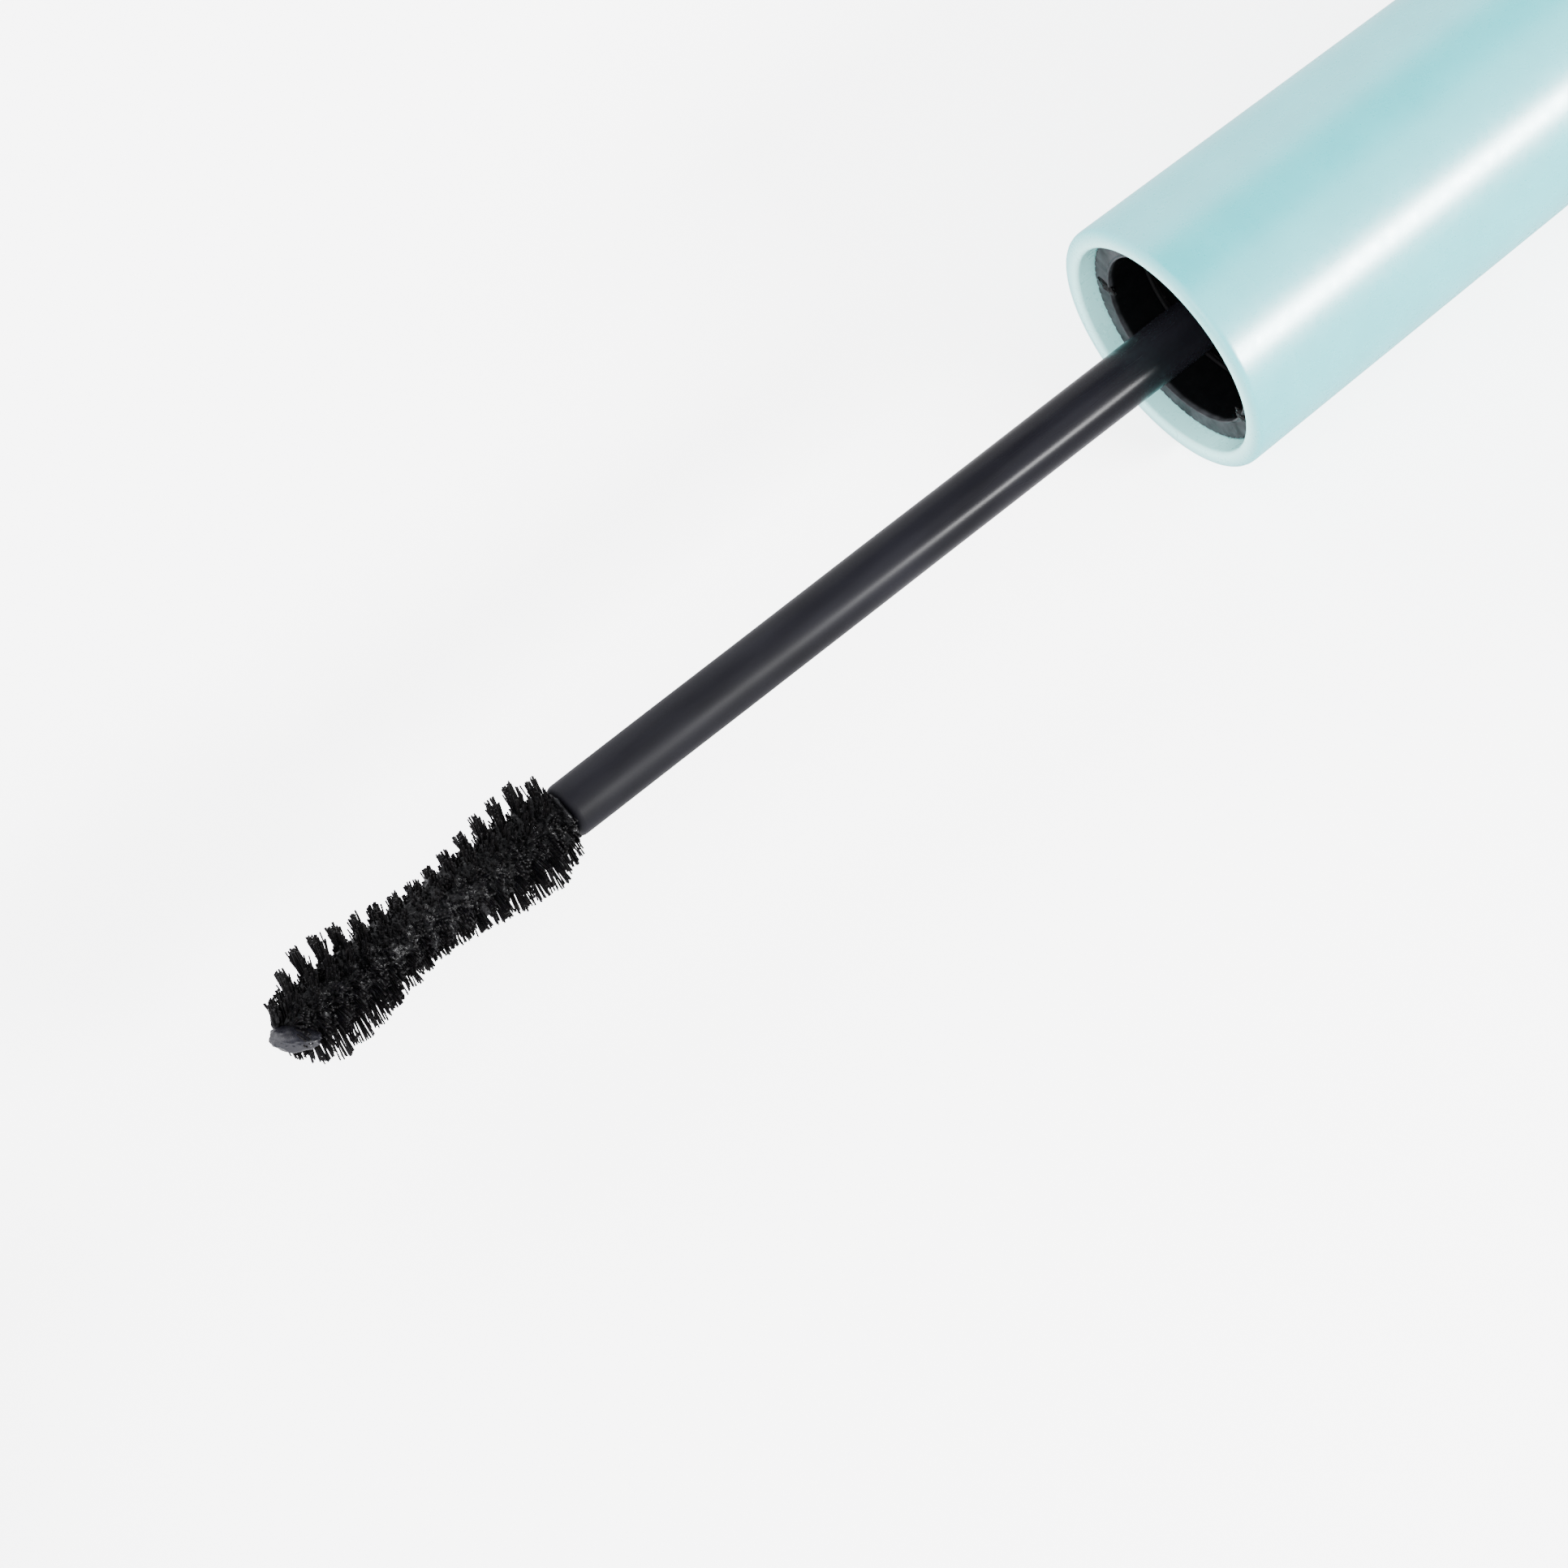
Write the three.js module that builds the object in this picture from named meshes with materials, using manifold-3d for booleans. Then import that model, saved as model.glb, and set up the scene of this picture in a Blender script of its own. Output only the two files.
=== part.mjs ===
// A mascara pack lying open. The bottle is an aqua shell round a black threaded vial with a wiper in its neck.
// Drawn out of it along one straight line is the applicator: an aqua cap with a black threaded liner and a gasket,
// a black wand, and a brush of bristles held in one twisted wire.
// Millimetres, +Z up. The pack lies on the plane z = 0 with its axis along X, the bottle at -X and the cap at +X,
// and x = 0 halfway between the bottle's base and the cap's closed end.
import * as THREE from "three";
import { mergeVertices } from "three/addons/utils/BufferGeometryUtils.js";
import Module from "manifold-3d";

const wasm = await Module();
wasm.setup();

// ---- Driving dimensions ----
const BODY_RADIUS = 9.0; // of the pack, where cap and bottle meet
const CAP_LENGTH = 55;
const CAP_DRAFT = 0.0162; // radius lost for each millimetre of the cap's length
const BOTTLE_LENGTH = 75; // base to shoulder
const NECK_HEIGHT = 11; // shoulder to the neck's rim
const SHELL_WALL = 1.3;
const WAND_REACH = 48.8; // cap's mouth to the end of the wand
const WAND_RADIUS = 1.82;
const BRUSH_LENGTH = 22.0; // end of the wand to the tip of the bristles
const BRUSH_FULL_RADIUS = 3.42;
const BRUSH_WAIST_RADIUS = 2.48;
const TIP_TO_NECK = 32; // from the bristles to the neck's rim, while the pack lies open
const CLOSED_GAP = 0.15; // between cap and bottle once the cap is screwed home
const FIT = 0.1; // between pieces that are pressed together

// ---- Rounds and sections ----
const SIDES = 48;
const SMALL_SIDES = 24;
const RIM_ROUND = 0.45;
const END_ROUND = 1.2;

// ---- Places on the axis: the bottle's shoulder and the cap's mouth ----
const OPEN_DISTANCE = NECK_HEIGHT + TIP_TO_NECK + BRUSH_LENGTH + WAND_REACH;
const TOTAL_LENGTH = BOTTLE_LENGTH + OPEN_DISTANCE + CAP_LENGTH;
const SHOULDER_X = BOTTLE_LENGTH - TOTAL_LENGTH / 2;
const MOUTH_X = SHOULDER_X + OPEN_DISTANCE;
const AXIS_HEIGHT = BODY_RADIUS * Math.cos(Math.PI / SIDES); // one flat of the bottle lies on z = 0

// ---- Threads ----
const THREAD_RADIUS = 0.45; // of the round ridge, half of it sunk in the wall
const THREAD_PITCH = 2.8;
const THREAD_TURNS = 1.5;
const THREAD_START = 3.6;

// ---- Inside of the pack ----
const SHELL_BORE = BODY_RADIUS - SHELL_WALL;
const SHELL_FLOOR = 1.4;
const INSERT_RADIUS = SHELL_BORE - FIT;
const NECK_RADIUS = 5.4;
const NECK_BORE = 4.4;
const WIPER_FLANGE = 0.8;
const LINER_BORE = 6.4;
const FACE_DEPTH = 1.45; // of the liner's face, inside the cap's mouth
const GASKET_THICKNESS = 1.0;
const GASKET_DEPTH = NECK_HEIGHT + WIPER_FLANGE - CLOSED_GAP + 0.2;
const CEILING_DEPTH = GASKET_DEPTH + GASKET_THICKNESS + FIT;
const CEILING_TOP = CEILING_DEPTH + 1.4;
const HEAD_RADIUS = WAND_RADIUS + 1.5;

// ---- Twisted wire ----
const STRAND_RADIUS = 0.24;
const TWIST_RADIUS = 0.27; // of each strand's helix
const TWIST_PITCH = 2.75; // the rows of bristles follow it
const WIRE_BORE = 0.62; // clear hole round both strands
const WIRE_IN_WAND = 6.5;
const WIRE_SHORT_OF_TIP = 1.0;

function look(color, roughness, metalness = 0) {
  return new THREE.MeshStandardMaterial({ color, roughness, metalness });
}

const AQUA = look(0xa9d8dc, 0.38);
const BLACK_PLASTIC = look(0x17181b, 0.35);
const GREY_PLASTIC = look(0x3a3c40, 0.45);
const FOAM = look(0xe8e6df, 0.8);
const STEEL = look(0xb8babd, 0.3, 1);
const NYLON = look(0x0b0b0d, 0.55);

// ---- Geometry helpers ----

// Points of an arc about [radius, along].
function arc(radius, along, size, from, to) {
  const steps = 3;
  const points = [];
  for (let i = 0; i <= steps; i++) {
    const angle = from + ((to - from) * i) / steps;
    points.push([radius + size * Math.cos(angle), along + size * Math.sin(angle)]);
  }
  return points;
}

// A solid of revolution about X, from [radius, along] pairs that keep the material on their left.
// An outline that starts off the axis makes a ring, and is closed back to its start.
function turned(outline, sides = SIDES) {
  const isRing = outline[0][0] > 0;
  const closed = isRing ? [...outline, outline[0]] : outline;
  const points = closed.map(([radius, along]) => new THREE.Vector2(radius, along));
  return new THREE.LatheGeometry(points, sides, Math.PI / sides).rotateZ(-Math.PI / 2);
}

// A rod of a regular section along a curve.
function rod(curve, radius, sides, steps) {
  const corners = [];
  for (let i = 0; i < sides; i++) {
    const angle = (2 * Math.PI * i) / sides;
    corners.push(new THREE.Vector2(radius * Math.cos(angle), radius * Math.sin(angle)));
  }
  const section = new THREE.Shape(corners);
  return new THREE.ExtrudeGeometry(section, { steps, extrudePath: curve, bevelEnabled: false });
}

function onHelix(along, radius, angle) {
  return new THREE.Vector3(along, radius * Math.cos(angle), radius * Math.sin(angle));
}

class ThreadCurve extends THREE.Curve {
  constructor(radius, start) {
    super();
    this.radius = radius;
    this.start = start;
  }
  getPoint(t) {
    const turns = THREAD_TURNS * t;
    return onHelix(this.start + THREAD_PITCH * turns, this.radius, 2 * Math.PI * turns);
  }
}

// One wire folded in half and twisted on itself: out along one helix, round the fold, back along the other.
class TwistedHairpin extends THREE.Curve {
  constructor(open, fold) {
    super();
    this.open = open;
    this.fold = fold;
    this.twist = (2 * Math.PI * Math.abs(fold - open)) / TWIST_PITCH;
    const run = Math.hypot(fold - open, this.twist * TWIST_RADIUS);
    this.runShare = run / (2 * run + Math.PI * TWIST_RADIUS);
    this.arcLengthDivisions = 2000;
  }
  getPoint(t) {
    if (t > this.runShare && t < 1 - this.runShare) {
      const round = (Math.PI * (t - this.runShare)) / (1 - 2 * this.runShare);
      const beyond = Math.sign(this.fold - this.open) * TWIST_RADIUS * Math.sin(round);
      return onHelix(this.fold + beyond, TWIST_RADIUS * Math.cos(round), this.twist);
    }
    const isReturn = t > 0.5;
    const along = (isReturn ? 1 - t : t) / this.runShare;
    const angle = this.twist * along + (isReturn ? Math.PI : 0);
    return onHelix(this.open + (this.fold - this.open) * along, TWIST_RADIUS, angle);
  }
}

function solidOf(geometry) {
  const bare = geometry.clone();
  bare.deleteAttribute("normal");
  bare.deleteAttribute("uv");
  const merged = mergeVertices(bare);
  const vertProperties = new Float32Array(merged.attributes.position.array);
  const triVerts = new Uint32Array(merged.index.array);
  return new wasm.Manifold(new wasm.Mesh({ numProp: 3, vertProperties, triVerts }));
}

function joined(first, second) {
  const mesh = solidOf(first).add(solidOf(second)).getMesh();
  const geometry = new THREE.BufferGeometry();
  geometry.setAttribute("position", new THREE.BufferAttribute(mesh.vertProperties, 3));
  geometry.setIndex(new THREE.BufferAttribute(mesh.triVerts, 1));
  geometry.computeVertexNormals();
  return geometry;
}

function withThread(geometry, radius, start) {
  return joined(geometry, rod(new ThreadCurve(radius, start), THREAD_RADIUS, 6, 30));
}

// ---- The bottle, along from its shoulder: the neck's side is positive ----

function bottleShell() {
  return turned([
    [0, -BOTTLE_LENGTH],
    ...arc(BODY_RADIUS - END_ROUND, -BOTTLE_LENGTH + END_ROUND, END_ROUND, -Math.PI / 2, 0),
    ...arc(BODY_RADIUS - RIM_ROUND, -RIM_ROUND, RIM_ROUND, 0, Math.PI / 2),
    [SHELL_BORE, 0],
    [SHELL_BORE, -BOTTLE_LENGTH + SHELL_FLOOR],
    [0, -BOTTLE_LENGTH + SHELL_FLOOR],
  ]);
}

// The vial's collar closes the shell's mouth, and the cap's mouth goes over it.
function innerVial() {
  const wall = 1.1;
  const base = -BOTTLE_LENGTH + SHELL_FLOOR + FIT;
  const bore = INSERT_RADIUS - wall;
  const collar = INSERT_RADIUS - 0.15;
  const collarHeight = 1.1;
  const vial = turned([
    [0, base],
    [INSERT_RADIUS - 1, base],
    [INSERT_RADIUS, base + 1],
    [INSERT_RADIUS, -0.3],
    [collar, 0],
    [collar, collarHeight],
    [NECK_RADIUS, collarHeight],
    [NECK_RADIUS, NECK_HEIGHT],
    [NECK_BORE, NECK_HEIGHT],
    [NECK_BORE, -1],
    [bore, -3],
    [bore, base + 3],
    [bore - 2, base + wall],
    [0, base + wall],
  ]);
  return withThread(vial, NECK_RADIUS, THREAD_START + THREAD_PITCH / 2);
}

// A flanged sleeve pressed into the neck, with a funnel that closes to a hole just clear of the wand.
function neckWiper() {
  const wall = 0.6;
  const hole = WAND_RADIUS + 0.13;
  const sleeve = NECK_BORE - FIT;
  const flange = NECK_RADIUS - 0.2;
  const seat = NECK_HEIGHT + FIT;
  const top = NECK_HEIGHT + WIPER_FLANGE;
  const lip = -4.9;
  return turned([
    [sleeve - wall + 0.3, top],
    [sleeve - wall, top - 1.2],
    [sleeve - wall, 0.4],
    [hole, lip + 0.7],
    [hole, lip],
    [hole + wall, lip + 0.2],
    [sleeve, 0],
    [sleeve, seat],
    [flange, seat],
    [flange, top],
  ]);
}

// ---- The applicator, along from the cap's mouth: into the cap is positive, the wand's side is negative ----

function capShell() {
  const endRadius = BODY_RADIUS - CAP_DRAFT * CAP_LENGTH;
  const ceiling = CAP_LENGTH - 1.6;
  const straightBore = 24; // depth of the bore's straight part, which holds the liner
  const corner = endRadius - SHELL_WALL;
  return turned([
    [0, ceiling],
    [corner - 0.8, ceiling],
    [corner, ceiling - 0.8],
    [SHELL_BORE, straightBore],
    ...arc(SHELL_BORE + RIM_ROUND, RIM_ROUND, RIM_ROUND, Math.PI, 1.5 * Math.PI),
    ...arc(BODY_RADIUS - RIM_ROUND, RIM_ROUND, RIM_ROUND, -Math.PI / 2, 0),
    ...arc(endRadius - END_ROUND, CAP_LENGTH - END_ROUND, END_ROUND, 0, Math.PI / 2),
    [0, CAP_LENGTH],
  ]);
}

// A threaded cup pressed into the shell, with a socket on its ceiling that holds the wand's head.
function innerCap() {
  const hole = WAND_RADIUS + FIT;
  const outside = INSERT_RADIUS - 0.5;
  const socketBore = HEAD_RADIUS + 0.2;
  const socketRadius = socketBore + 1;
  const socketTop = CEILING_TOP + 4;
  const lipRadius = LINER_BORE + 0.25;
  const lipFace = FACE_DEPTH - 0.15;
  const cup = turned([
    [hole, CEILING_TOP],
    [hole, CEILING_DEPTH],
    [LINER_BORE, CEILING_DEPTH],
    [LINER_BORE, lipFace],
    [lipRadius, lipFace],
    [lipRadius, FACE_DEPTH],
    [INSERT_RADIUS, FACE_DEPTH],
    [INSERT_RADIUS, FACE_DEPTH + 1.5],
    [outside, FACE_DEPTH + 2],
    [outside, CEILING_TOP],
    [socketRadius, CEILING_TOP],
    [socketRadius, socketTop],
    [socketBore, socketTop],
    [socketBore, CEILING_TOP],
  ]);
  return withThread(cup, LINER_BORE, THREAD_START);
}

// A loose washer under the liner's ceiling, which the neck's rim presses when the pack is closed.
function capGasket() {
  const inside = WAND_RADIUS + 0.3;
  const outside = LINER_BORE - THREAD_RADIUS - 0.15;
  return turned([
    [inside, GASKET_DEPTH],
    [outside, GASKET_DEPTH],
    [outside, GASKET_DEPTH + GASKET_THICKNESS],
    [inside, GASKET_DEPTH + GASKET_THICKNESS],
  ]);
}

// A rod with a flanged head above the liner's ceiling, and a blind hole in its end for the wire.
function wandStem() {
  const headStart = CEILING_TOP + FIT;
  const headEnd = headStart + 1.6;
  const chamfer = 0.4;
  const wireEnd = -WAND_REACH + WIRE_IN_WAND + 0.5;
  const outline = [
    [0, wireEnd],
    [WIRE_BORE, wireEnd],
    [WIRE_BORE, -WAND_REACH],
    [WAND_RADIUS - chamfer, -WAND_REACH],
    [WAND_RADIUS, -WAND_REACH + chamfer],
    [WAND_RADIUS, headStart],
    [HEAD_RADIUS, headStart],
    [HEAD_RADIUS, headEnd],
    [WAND_RADIUS - chamfer, headEnd + 1],
    [0, headEnd + 1],
  ];
  return turned(outline, SMALL_SIDES);
}

function brushWire() {
  const open = -WAND_REACH + WIRE_IN_WAND;
  const fold = -WAND_REACH - BRUSH_LENGTH + WIRE_SHORT_OF_TIP;
  return rod(new TwistedHairpin(open, fold), STRAND_RADIUS, 5, 200);
}

// Radius of the bristles' tips, waisted near the middle, with a shorter heel by the wand and a round nose.
// share runs from 0 at the wand to 1 at the free end.
function bristleRadius(share) {
  const waistAt = 0.48;
  const swell = Math.min(Math.abs(share - waistAt) / 0.36, 1) ** 1.6;
  const heel = 1 - 0.14 * Math.max(1 - share / 0.08, 0);
  const intoNose = Math.max((share - 0.86) / 0.15, 0);
  const nose = Math.sqrt(1 - 0.9 * intoNose ** 2);
  return (BRUSH_WAIST_RADIUS + (BRUSH_FULL_RADIUS - BRUSH_WAIST_RADIUS) * swell) * heel * nose;
}

// The space that the bristles fill, as one ring round the wire.
function bristlePack() {
  const stations = 20;
  const start = -WAND_REACH - 0.15;
  const length = BRUSH_LENGTH - 0.15;
  const outline = [[WIRE_BORE, start], [WIRE_BORE, start - length]];
  for (let i = stations; i >= 0; i--) {
    const share = i / stations;
    outline.push([bristleRadius(share), start - length * share]);
  }
  return turned(outline, SMALL_SIDES);
}

// ---- Assembly ----

function placed(x, pieces) {
  const group = new THREE.Group();
  group.position.set(x, 0, AXIS_HEIGHT);
  for (const [name, geometry, finish] of pieces) {
    const mesh = new THREE.Mesh(geometry, finish);
    mesh.name = name;
    group.add(mesh);
  }
  return group;
}

const bottle = placed(SHOULDER_X, [
  ["bottle_shell", bottleShell(), AQUA],
  ["inner_vial", innerVial(), BLACK_PLASTIC],
  ["neck_wiper", neckWiper(), GREY_PLASTIC],
]);

const applicator = placed(MOUTH_X, [
  ["cap_shell", capShell(), AQUA],
  ["inner_cap", innerCap(), BLACK_PLASTIC],
  ["cap_gasket", capGasket(), FOAM],
  ["wand_stem", wandStem(), BLACK_PLASTIC],
  ["brush_wire", brushWire(), STEEL],
  ["bristle_pack", bristlePack(), NYLON],
]);

const mascara = new THREE.Group();
mascara.add(bottle, applicator);

export default mascara;
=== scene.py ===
"""Looks of a mascara pack lying open: an aqua bottle, and its applicator drawn out of it along one line.

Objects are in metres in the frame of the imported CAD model: the pack's axis runs along X at the height AXIS_Z,
the bottle lies at -X and the cap at +X. Round pieces are turned about that axis. Their outlines are lists of
(along, radius, round) in millimetres, where along is measured from the cap's mouth or the bottle's shoulder.
Angles about the axis run from straight up, and a quarter turn later they point to +Y.
"""
import math
import random

import bmesh
import bpy
from mathutils import Matrix, Vector, noise


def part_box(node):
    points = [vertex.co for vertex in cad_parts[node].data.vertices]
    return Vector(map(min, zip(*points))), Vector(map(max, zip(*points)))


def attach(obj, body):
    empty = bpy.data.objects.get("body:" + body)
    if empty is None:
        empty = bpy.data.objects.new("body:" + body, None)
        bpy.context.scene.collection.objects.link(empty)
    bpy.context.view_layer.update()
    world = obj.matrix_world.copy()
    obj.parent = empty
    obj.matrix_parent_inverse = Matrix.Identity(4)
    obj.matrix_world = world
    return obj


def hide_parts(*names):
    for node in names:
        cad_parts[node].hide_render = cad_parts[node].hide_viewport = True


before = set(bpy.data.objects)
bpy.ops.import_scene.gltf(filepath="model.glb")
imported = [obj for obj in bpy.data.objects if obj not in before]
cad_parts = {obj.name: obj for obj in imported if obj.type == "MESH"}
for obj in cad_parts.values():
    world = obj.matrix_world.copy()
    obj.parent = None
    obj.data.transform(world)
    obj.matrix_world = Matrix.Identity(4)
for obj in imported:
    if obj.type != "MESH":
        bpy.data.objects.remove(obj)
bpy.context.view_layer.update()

MM = 0.001

# ---- Places, from the frame ----
CAP_LOW, CAP_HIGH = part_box("cap_shell")
BOTTLE_LOW, BOTTLE_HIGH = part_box("bottle_shell")
WAND_LOW, WAND_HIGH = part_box("wand_stem")
BRUSH_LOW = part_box("bristle_pack")[0]
GASKET_LOW, GASKET_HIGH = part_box("cap_gasket")
VIAL_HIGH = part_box("inner_vial")[1]
WIPER_LOW, WIPER_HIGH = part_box("neck_wiper")

AXIS_Z = (BOTTLE_LOW.z + BOTTLE_HIGH.z) / 2
MOUTH_X = CAP_LOW.x
SHOULDER_X = BOTTLE_HIGH.x
BODY_R = AXIS_Z / MM
CAP_LENGTH = (CAP_HIGH.x - CAP_LOW.x) / MM
BOTTLE_LENGTH = (BOTTLE_HIGH.x - BOTTLE_LOW.x) / MM
NECK_HEIGHT = (VIAL_HIGH.x - SHOULDER_X) / MM
WAND_REACH = (MOUTH_X - WAND_LOW.x) / MM
WAND_TOP = (WAND_HIGH.x - MOUTH_X) / MM
BRUSH_REACH = (MOUTH_X - BRUSH_LOW.x) / MM
GASKET_DEPTH = (GASKET_LOW.x - MOUTH_X) / MM
GASKET_TOP = (GASKET_HIGH.x - MOUTH_X) / MM

# ---- Sizes in millimetres; a name that ends in _R is a radius ----
CAP_DRAFT = 0.0162  # loss of radius for each millimetre of length
END_ROUND = 1.6
SHELL_BORE = 7.7
INSERT_R = 7.6
WAND_R = 1.82
FACE_DEPTH = 1.45
LINER_BORE = 6.2
NECK_R = 5.4
NECK_BORE = 4.4
THREAD_PITCH = 2.8
THREAD_TURNS = 1.5

# ---- The brush, in millimetres; a share of its length runs from 0 at the wand to 1 at the free end ----
BRUSH_LENGTH = BRUSH_REACH - WAND_REACH
ROW_PITCH = 2.75  # a row of fibres goes once round the wire in this length, and there are two rows
ROW_HALF_WIDTH = 0.36
ROW_FIBRES = 1350
SHORT_FIBRES = 2300
BRISTLE_OBJECTS = 4
FIBRE_R = (0.050, 0.062)  # the thinnest and the thickest fibre
FIBRE_TAPER = (1.0, 0.95, 0.9, 0.85, 1.05)  # from root to tip
FIBRE_SIDES = 5
FIBRE_BEND = 0.04
ROOT_R = 0.3
ROOT_SCATTER = 0.2  # in radians
TIP_SCATTER = 0.04  # in radians
TIP_SLIP = 0.05
NEIGHBOUR_SWAY = 0.12  # in radians
NEIGHBOUR_SLIDE = 0.2
WIPED_R = 1.85  # the wiper strips the formula down to about its own hole
LEAN = 0.16  # each fibre runs straight through the wire, a little off square
LEAN_ANGLE = math.radians(69)
CLUMP_ANGLE = 0.55  # the formula gathers a row into clumps of about this width, in radians
CLUMP_PULL = 0.12
TRIM = ((0.0, 2.5), (0.09, 3.45), (0.48, 2.42), (0.85, 3.5), (0.93, 2.95), (1.0, 1.5))  # (share, radius)

# ---- Steps of the meshes and nodes ----
FULL_TURN = 2 * math.pi
ON_AXIS = 1e-6
ROUND_STEPS = 6
MOST_OF_HALF = 0.49  # of a side, so that the rounds at its two ends never meet
FINE_SEGMENTS = 192
SEGMENTS = 144
SMALL_SEGMENTS = 96
NOISE_LOW, NOISE_HIGH = 0.3, 0.7  # a noise texture's values lie mostly between these
MIX_FACTOR, MIX_COLOR_A, MIX_COLOR_B = 0, 6, 7  # a colour Mix node's inputs
MIX_COLOR_OUT = 2


# ======================================================================================
# Mesh helpers
# ======================================================================================

def new_object(name, vertices, faces, smooth_angle=35):
    """A mesh object from vertices in metres, smooth except where faces meet at more than smooth_angle."""
    mesh = bpy.data.meshes.new(name)
    mesh.from_pydata([tuple(v) for v in vertices], [], faces)
    mesh.shade_smooth()
    mesh.set_sharp_from_angle(angle=math.radians(smooth_angle))
    mesh.update()
    obj = bpy.data.objects.new(name, mesh)
    bpy.context.scene.collection.objects.link(obj)
    return obj


def axis_point(origin_x, along, radius, angle):
    """A place in metres, from millimetres along the axis past origin_x, a radius and an angle."""
    return Vector((origin_x + along * MM,
                   radius * MM * math.sin(angle),
                   AXIS_Z + radius * MM * math.cos(angle)))


def tube_faces(base, rings, sides, capped=True):
    """Faces of a tube whose rings of vertices follow one another from the index base."""
    faces = []
    for ring in range(rings - 1):
        low = base + ring * sides
        high = low + sides
        for k in range(sides):
            n = (k + 1) % sides
            faces.append([low + k, low + n, high + n, high + k])
    if capped:
        last = base + (rings - 1) * sides
        faces.append([base + k for k in reversed(range(sides))])
        faces.append([last + k for k in range(sides)])
    return faces


def face_outwards(obj, weld=0.0):
    """Joins vertices that are closer than weld, in metres, and turns every face's normal outwards."""
    bm = bmesh.new()
    bm.from_mesh(obj.data)
    if weld:
        bmesh.ops.remove_doubles(bm, verts=bm.verts, dist=weld)
    bmesh.ops.recalc_face_normals(bm, faces=bm.faces)
    bm.to_mesh(obj.data)
    bm.free()


def rounded(outline, closed):
    """The outline's points as (along, radius), with a smooth curve at each corner that has a round."""
    count = len(outline)
    points = []
    for i, (along, radius, fillet) in enumerate(outline):
        here = Vector((along, radius))
        is_end = not closed and i in (0, count - 1)
        if is_end or fillet == 0:
            points.append(here)
            continue
        to_last = Vector(outline[i - 1][:2]) - here
        to_next = Vector(outline[(i + 1) % count][:2]) - here
        half = to_last.angle(to_next) / 2
        nearer = min(to_last.length, to_next.length)
        setback = min(fillet / math.tan(half), MOST_OF_HALF * nearer)
        start = here + to_last.normalized() * setback
        end = here + to_next.normalized() * setback
        for step in range(ROUND_STEPS + 1):
            t = step / ROUND_STEPS
            points.append(start * (1 - t) ** 2 + here * 2 * t * (1 - t) + end * t ** 2)
    return points


def lathe(name, origin_x, outline, segments=SEGMENTS, shape=None):
    """A solid of revolution about the pack's axis. An outline that starts off the axis closes on itself.
    shape(along, radius, angle) returns a changed (along, radius) for a vertex."""
    is_ring = outline[0][1] > 0
    vertices = []
    rows = []
    for along, radius in rounded(outline, is_ring):
        if radius < ON_AXIS:
            rows.append([len(vertices)])
            vertices.append(axis_point(origin_x, along, 0, 0))
            continue
        rows.append(list(range(len(vertices), len(vertices) + segments)))
        for k in range(segments):
            angle = FULL_TURN * k / segments
            place = shape(along, radius, angle) if shape else (along, radius)
            vertices.append(axis_point(origin_x, *place, angle))
    faces = []
    following_rows = rows[1:] + rows[:1] if is_ring else rows[1:]
    for row, following in zip(rows, following_rows):
        for k in range(segments):
            n = (k + 1) % segments
            corners = [row[k % len(row)], following[k % len(following)],
                       following[n % len(following)], row[n % len(row)]]
            faces.append(list(dict.fromkeys(corners)))
    obj = new_object(name, vertices, faces)
    face_outwards(obj)
    return obj


def ridge(name, origin_x, radius, size, start):
    """A round thread ridge, size high, that winds on from start and fades into the wall at both ends."""
    sides = 10
    flank = 1.1
    fade_rate = 6
    count = int(SMALL_SEGMENTS * THREAD_TURNS)
    vertices = []
    for i in range(count + 1):
        t = i / count
        fade = min(1, t * THREAD_TURNS * fade_rate, (1 - t) * THREAD_TURNS * fade_rate)
        angle = FULL_TURN * THREAD_TURNS * t
        along = start + THREAD_PITCH * THREAD_TURNS * t
        for k in range(sides):
            side = FULL_TURN * k / sides
            r = radius + size * fade * math.cos(side)
            a = along + size * flank * math.sin(side)
            vertices.append(axis_point(origin_x, a, r, angle))
    obj = new_object(name, vertices, tube_faces(0, count + 1, sides))
    face_outwards(obj)
    return obj


def dress(obj, material, body, slot, *nodes):
    """Gives a piece its material and its body, and hides the CAD nodes that it stands for. Its slot is not
    used.
    """
    obj.data.materials.append(material)
    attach(obj, body)
    if nodes:
        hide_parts(*nodes)


# ======================================================================================
# Materials
# ======================================================================================

class Nodes:
    """A node tree, with short calls for the nodes used here."""

    def __init__(self, tree):
        self.tree = tree

    def node(self, kind, **settings):
        """A new node, with its sockets or properties set by name."""
        made = self.tree.nodes.new(kind)
        for key, value in settings.items():
            if key in made.inputs:
                made.inputs[key].default_value = value
            else:
                setattr(made, key, value)
        return made

    def link(self, source, target):
        self.tree.links.new(source, target)

    def spread(self, source, low, high, from_low=NOISE_LOW, from_high=NOISE_HIGH, easing="LINEAR"):
        """Maps a value from one range to another, and keeps it inside."""
        made = self.node("ShaderNodeMapRange", interpolation_type=easing)
        made.inputs["From Min"].default_value = from_low
        made.inputs["From Max"].default_value = from_high
        made.inputs["To Min"].default_value = low
        made.inputs["To Max"].default_value = high
        self.link(source, made.inputs["Value"])
        return made.outputs["Result"]

    def combined(self, operation, first, second):
        """One value from two, by a Math node's operation."""
        made = self.node("ShaderNodeMath", operation=operation)
        self.link(first, made.inputs[0])
        self.link(second, made.inputs[1])
        return made.outputs["Value"]


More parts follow.
